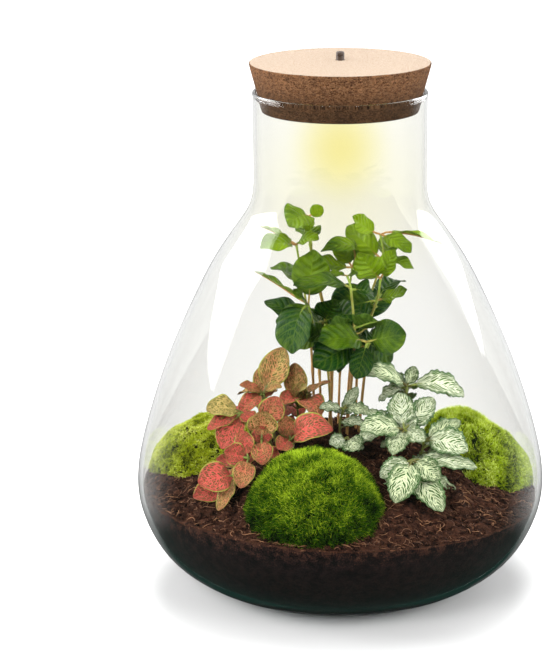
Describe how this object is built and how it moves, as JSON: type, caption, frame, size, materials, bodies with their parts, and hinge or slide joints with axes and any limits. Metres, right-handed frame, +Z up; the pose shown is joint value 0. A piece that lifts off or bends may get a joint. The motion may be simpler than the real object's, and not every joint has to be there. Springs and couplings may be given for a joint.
{
  "type": "glass plant terrarium",
  "caption": "Closed bottle-shaped glass terrarium with soil, moss cushions, coffee seedlings and fittonia under a cork lid with a push-button lamp.",
  "frame": {"origin": "on the axis of the jar, in the plane that its foot stands on", "axes": "+Z up along the axis of the jar, -Y towards the front moss cushion, +X to the right of it"},
  "size_m": [0.2352, 0.2352, 0.3047],
  "materials": {
    "glass": "clear blown glass, polished, faintly green where thick",
    "soil": "dark crumbly potting soil with brown fibres",
    "moss_front": "deep green fine-haired cushion moss",
    "moss_left": "yellow-green tufted cushion moss",
    "moss_right": "bright green cushion moss with pale tufts",
    "coffee_leaf": "glossy veined leaves on brown-green stems",
    "red_fittonia_leaf": "coral pink veined leaves with green edges",
    "white_fittonia_leaf": "green leaves with a cream white net of veins",
    "cork": "agglomerated cork, paler and smoother on top",
    "lamp_plastic": "moulded off-white plastic",
    "diffuser": "translucent warm white lens",
    "circuit_board": "green solder mask",
    "black_plastic": "moulded black plastic",
    "led": "yellow phosphor under clear resin",
    "battery_steel": "plain metal cell without a label",
    "button_plastic": "dark brown moulded plastic"
  },
  "bodies": {
    "terrarium": {"glass_jar": "glass", "soil": "soil", "moss_front": "moss_front", "moss_left": "moss_left", "moss_right": "moss_right", "coffee_seedling_1": "coffee_leaf", "coffee_seedling_2": "coffee_leaf", "coffee_seedling_3": "coffee_leaf", "coffee_seedling_4": "coffee_leaf", "coffee_seedling_5": "coffee_leaf", "coffee_seedling_6": "coffee_leaf", "coffee_seedling_7": "coffee_leaf", "coffee_seedling_8": "coffee_leaf", "coffee_seedling_9": "coffee_leaf", "red_fittonia_shoot_1": "red_fittonia_leaf", "red_fittonia_shoot_2": "red_fittonia_leaf", "red_fittonia_shoot_3": "red_fittonia_leaf", "red_fittonia_shoot_4": "red_fittonia_leaf", "red_fittonia_shoot_5": "red_fittonia_leaf", "red_fittonia_shoot_6": "red_fittonia_leaf", "red_fittonia_shoot_7": "red_fittonia_leaf", "white_fittonia_shoot_1": "white_fittonia_leaf", "white_fittonia_shoot_2": "white_fittonia_leaf", "white_fittonia_shoot_3": "white_fittonia_leaf", "white_fittonia_shoot_4": "white_fittonia_leaf", "white_fittonia_shoot_5": "white_fittonia_leaf", "white_fittonia_shoot_6": "white_fittonia_leaf", "cork_lid": "cork", "lamp_housing": "lamp_plastic", "lamp_cover": "lamp_plastic", "lamp_diffuser": "diffuser", "lamp_board": "circuit_board", "lamp_switch": "black_plastic", "lamp_led_1": "led", "lamp_led_2": "led", "lamp_led_3": "led", "lamp_led_4": "led", "lamp_battery_1": "battery_steel", "lamp_battery_2": "battery_steel", "lamp_battery_3": "battery_steel"},
    "button": {"switch_button": "button_plastic"}
  },
  "joints": [
    {"name": "button_press", "type": "slide", "parent": "terrarium", "child": "button", "axis": [0, 0, -1], "range_m": [0, 0.0015], "stiffness_N_per_m": 800}
  ]
}
